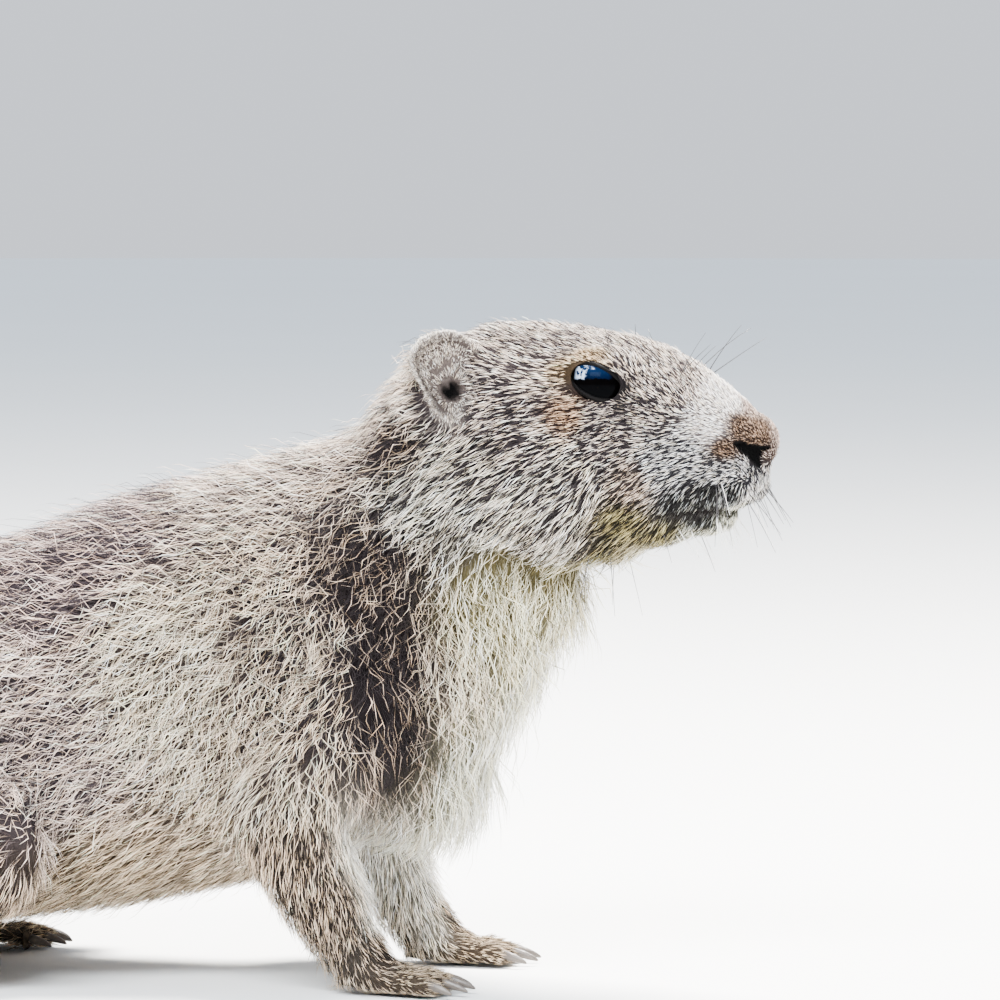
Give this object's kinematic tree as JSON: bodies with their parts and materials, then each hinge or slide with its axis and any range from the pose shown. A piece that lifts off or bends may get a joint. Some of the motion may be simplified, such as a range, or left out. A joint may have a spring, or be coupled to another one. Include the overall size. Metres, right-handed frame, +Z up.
{
  "type": "alpine marmot",
  "caption": "Life-size alpine marmot, a stout burrowing rodent crouched on its haunches, with straight forelegs, a raised head and a bushy tail.",
  "frame": {"origin": "on the floor, under the middle of the animal's box", "axes": "+X towards the head, +Y to the animal's left, +Z up"},
  "size_m": [0.5302, 0.163, 0.1924],
  "materials": {
    "coat": "matte grizzled fur, slate at the roots with cream and buff tips",
    "tail_coat": "matte long fur, brown turning black at the tip",
    "foot_coat": "matte short fur over dark bare soles",
    "eye": "wet gloss black",
    "nose_skin": "moist dark skin with short brown hair above",
    "claw": "satin dark horn"
  },
  "bodies": {
    "root": {"claw_forepaw_left_1": "claw", "claw_forepaw_left_2": "claw", "claw_forepaw_left_3": "claw", "claw_forepaw_left_4": "claw", "claw_forepaw_right_1": "claw", "claw_forepaw_right_2": "claw", "claw_forepaw_right_3": "claw", "claw_forepaw_right_4": "claw", "claw_hindfoot_left_1": "claw", "claw_hindfoot_left_2": "claw", "claw_hindfoot_left_3": "claw", "claw_hindfoot_left_4": "claw", "claw_hindfoot_left_5": "claw", "claw_hindfoot_right_1": "claw", "claw_hindfoot_right_2": "claw", "claw_hindfoot_right_3": "claw", "claw_hindfoot_right_4": "claw", "claw_hindfoot_right_5": "claw", "ear_left": "coat", "ear_right": "coat", "eye_left": "eye", "eye_right": "eye", "foreleg_left": "coat", "foreleg_right": "coat", "forepaw_left": "foot_coat", "forepaw_right": "foot_coat", "head": "coat", "hindfoot_left": "foot_coat", "hindfoot_right": "foot_coat", "hindleg_left": "coat", "hindleg_right": "coat", "neck": "coat", "nose": "nose_skin", "rump": "coat", "tail": "tail_coat", "torso": "coat"}
  },
  "joints": []
}
